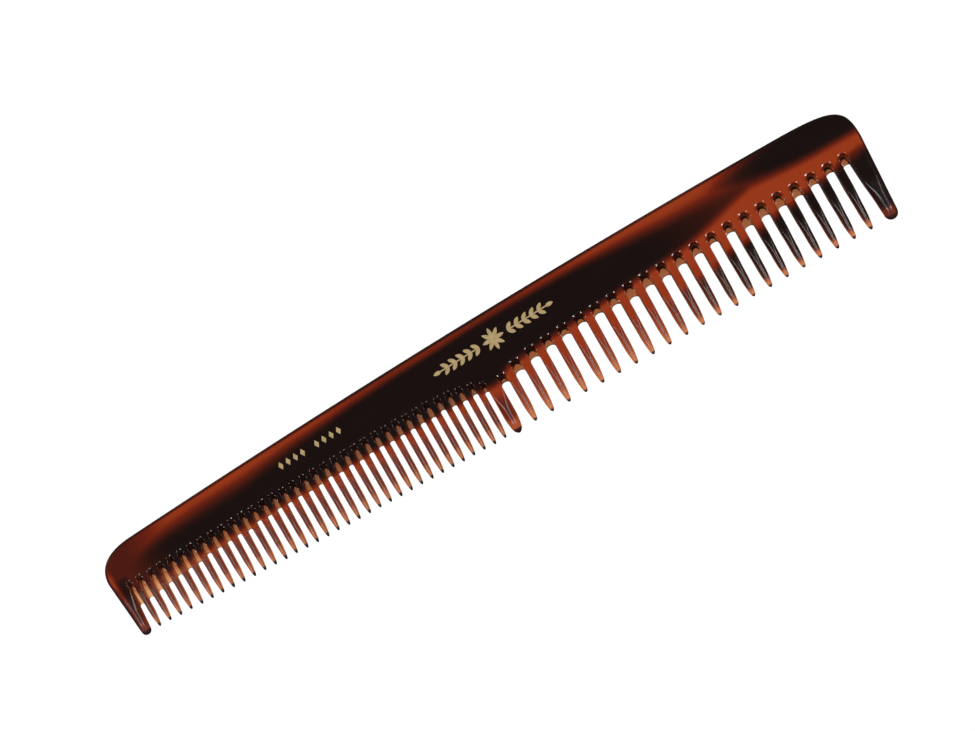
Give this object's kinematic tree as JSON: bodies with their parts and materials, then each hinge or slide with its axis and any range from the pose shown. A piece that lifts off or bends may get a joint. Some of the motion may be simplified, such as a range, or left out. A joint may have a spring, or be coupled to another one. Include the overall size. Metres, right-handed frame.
{
  "type": "comb",
  "caption": "Flat hand comb cut from tortoiseshell acetate: fine teeth on one side, coarse teeth on the other, solid guard teeth at the ends, gold foil ornaments on the back.",
  "frame": {"origin": "middle of the comb's outline, on its underside", "axes": "+X along the comb towards the coarse teeth, +Y from the teeth towards the back edge, +Z out of the stamped face"},
  "size_m": [0.178, 0.0266, 0.004],
  "materials": {
    "acetate": "hand-polished tortoiseshell cellulose acetate",
    "gold_foil": "hot-stamped gold foil"
  },
  "bodies": {
    "root": {"back": "acetate", "fine_end_guard": "acetate", "fine_teeth": "acetate", "fine_webs": "acetate", "divider_tooth": "acetate", "coarse_teeth": "acetate", "coarse_webs": "acetate", "coarse_end_guard": "acetate", "foil_rosette": "gold_foil", "foil_sprigs": "gold_foil", "foil_lozenges": "gold_foil"}
  },
  "joints": []
}
